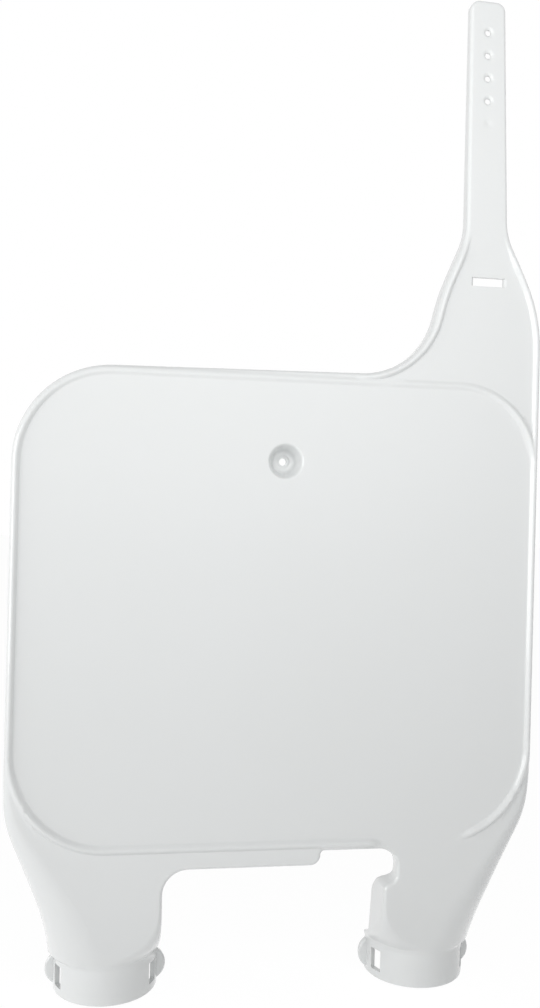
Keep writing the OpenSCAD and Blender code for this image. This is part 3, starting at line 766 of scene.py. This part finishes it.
class BOARD_OT_moulding(bpy.types.Operator):
    """The whole moulding in one mesh: edges, sheet with its ridges, cup, holes, legs, saddles and ears"""
    bl_idname = "board.moulding"
    bl_label = "Moulding"

    def execute(self, context):
        points, faces = board_mesh()
        mesh = bpy.data.meshes.new("moulding")
        mesh.from_pydata(points.tolist(), [], faces)
        piece = bpy.data.objects.new("moulding", mesh)
        context.collection.objects.link(piece)
        b = bmesh.new()
        b.from_mesh(mesh)
        bmesh.ops.remove_doubles(b, verts=b.verts, dist=SAME_PLACE)
        bmesh.ops.recalc_face_normals(b, faces=b.faces)
        gaps = sum(len(e.link_faces) != 2 for e in b.edges)
        b.to_mesh(mesh)
        b.free()
        if gaps:
            raise RuntimeError(f"the moulding isn't closed: {gaps} edges")
        mesh.shade_smooth()
        mesh.set_sharp_from_angle(angle=context.scene.board_finish.crease)
        mesh.materials.clear()
        mesh.materials.append(plastic())
        normals = piece.modifiers.new("Even shading", "WEIGHTED_NORMAL")
        normals.keep_sharp = True
        normals.weight = 70
        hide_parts(NODE)
        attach(piece, "root")
        return {"FINISHED"}


def camera_axes(yaw, roll):
    """Camera's axes as columns: it looks level along +Y turned by yaw, then rolls about that line."""
    ahead = Vector((math.sin(yaw), math.cos(yaw), 0))
    right = Vector((math.cos(yaw), -math.sin(yaw), 0))
    up = Vector((0, 0, 1))
    x = right * math.cos(roll) + up * math.sin(roll)
    y = up * math.cos(roll) - right * math.sin(roll)
    return Matrix((x, y, -ahead)).transposed()


def lamp(name, place, aim, size, power, mirrored):
    """An area lamp of the given width and height, turned to aim at a point; mirrored says that gloss shows
    it."""
    data = bpy.data.lights.new(name, "AREA")
    data.shape = "RECTANGLE"
    data.size, data.size_y = size
    data.energy = power
    made = bpy.data.objects.new(name, data)
    made.location = place
    made.rotation_mode = "QUATERNION"
    made.rotation_quaternion = (Vector(aim) - Vector(place)).to_track_quat("-Z", "Y")
    made.visible_camera = False
    made.visible_glossy = mirrored
    bpy.context.collection.objects.link(made)


def seen_rays(nodes, links):
    """1 for rays from the camera, from gloss and through glass, and 0 for light that falls on the board."""
    path = nodes.new("ShaderNodeLightPath")
    seen = path.outputs["Is Camera Ray"]
    for kind in ("Is Glossy Ray", "Is Transmission Ray"):
        either = nodes.new("ShaderNodeMath")
        either.operation = "MAXIMUM"
        links.new(seen, either.inputs[0])
        links.new(path.outputs[kind], either.inputs[1])
        seen = either.outputs[0]
    return seen


def floor_material(colour):
    """Pale floor that glows a little on the board, shows as white to the camera and keeps part of the
    shadow."""
    white, share_in_light, share_seen = 1.03, 0.3, 0.94
    made = bpy.data.materials.new("studio_floor")
    nodes, links = empty_nodes(made)
    out = nodes.new("ShaderNodeOutputMaterial")
    diffuse = nodes.new("ShaderNodeBsdfDiffuse")
    diffuse.inputs["Color"].default_value = (*colour, 1)
    glow = nodes.new("ShaderNodeEmission")
    glow.inputs["Color"].default_value = (1, 1, 1, 1)
    glow.inputs["Strength"].default_value = white
    share = nodes.new("ShaderNodeMapRange")
    share.inputs["To Min"].default_value = share_in_light
    share.inputs["To Max"].default_value = share_seen
    blend = nodes.new("ShaderNodeMixShader")
    links.new(seen_rays(nodes, links), share.inputs["Value"])
    links.new(share.outputs[0], blend.inputs["Fac"])
    links.new(diffuse.outputs["BSDF"], blend.inputs[1])
    links.new(glow.outputs["Emission"], blend.inputs[2])
    links.new(blend.outputs["Shader"], out.inputs["Surface"])
    return made


def studio_world(level):
    """White behind the board for the camera and in its gloss, and a plain grey level of light for the rest."""
    world = bpy.data.worlds.new("studio")
    nodes, links = empty_nodes(world)
    out = nodes.new("ShaderNodeOutputWorld")
    blend = nodes.new("ShaderNodeMixShader")
    links.new(seen_rays(nodes, links), blend.inputs["Fac"])
    for side, strength in ((1, level), (2, 1.0)):
        light = nodes.new("ShaderNodeBackground")
        light.inputs["Color"].default_value = (1, 1, 1, 1)
        light.inputs["Strength"].default_value = strength
        links.new(light.outputs["Background"], blend.inputs[side])
    links.new(blend.outputs["Shader"], out.inputs["Surface"])
    bpy.context.scene.world = world


class BOARD_OT_stage(bpy.types.Operator):
    """Camera, floor, lamps and the white space behind the board"""
    bl_idname = "board.stage"
    bl_label = "Photo stage"

    def execute(self, context):
        scene, look = context.scene, context.scene.board_stage
        data = bpy.data.cameras.new("camera")
        data.sensor_fit = "AUTO"
        data.sensor_width = 36
        data.lens = look.lens
        camera = bpy.data.objects.new("camera", data)
        camera.matrix_world = Matrix.Translation(look.camera_place) @ camera_axes(
            look.camera_yaw, look.camera_roll).to_4x4()
        context.collection.objects.link(camera)
        scene.camera = camera
        scene.view_settings.view_transform = "Standard"

        gap, side = 0.002, 6.0
        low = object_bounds()[0][2] - gap
        mesh = bpy.data.meshes.new("floor")
        mesh.from_pydata(
            [(-side, -side, low), (side, -side, low), (side, side, low), (-side, side, low)], [], [(0, 1, 2, 3)])
        mesh.materials.append(floor_material(look.backdrop))
        floor = bpy.data.objects.new("floor", mesh)
        context.collection.objects.link(floor)
        floor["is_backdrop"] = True

        studio_world(level=0.22)
        lamp("front_lamp", place=(0.02, -0.40, 0.20), aim=(0.02, 0, 0.18), size=(0.45, 0.45), power=1.32,
             mirrored=False)
        lamp("side_lamp", place=(-0.87, -0.33, 0.02), aim=(0, 0, -0.02), size=(1.0, 0.54), power=4.9,
             mirrored=True)
        return {"FINISHED"}


class BOARD_PT_panel(bpy.types.Panel):
    """Lists the board's pieces and its stage"""
    bl_idname = "BOARD_PT_panel"
    bl_label = "Number board"
    bl_space_type = "VIEW_3D"
    bl_region_type = "UI"
    bl_category = "Board"

    def draw(self, context):
        layout = self.layout
        for group in (context.scene.board_shape, context.scene.board_finish, context.scene.board_stage):
            box = layout.box()
            for name in group.__annotations__:
                box.prop(group, name)
        for operator in (BOARD_OT_moulding, BOARD_OT_stage):
            layout.operator(operator.bl_idname)


CLASSES = (BoardShape, BoardFinish, BoardStage, BOARD_OT_moulding, BOARD_OT_stage, BOARD_PT_panel)


def register():
    for c in CLASSES:
        bpy.utils.register_class(c)
    bpy.types.Scene.board_shape = bpy.props.PointerProperty(type=BoardShape)
    bpy.types.Scene.board_finish = bpy.props.PointerProperty(type=BoardFinish)
    bpy.types.Scene.board_stage = bpy.props.PointerProperty(type=BoardStage)


def unregister():
    del bpy.types.Scene.board_shape
    del bpy.types.Scene.board_finish
    del bpy.types.Scene.board_stage
    for c in reversed(CLASSES):
        bpy.utils.unregister_class(c)


def main():
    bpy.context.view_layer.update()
    register()
    bpy.ops.board.moulding()
    bpy.ops.board.stage()


if __name__ == "__main__":
    main()
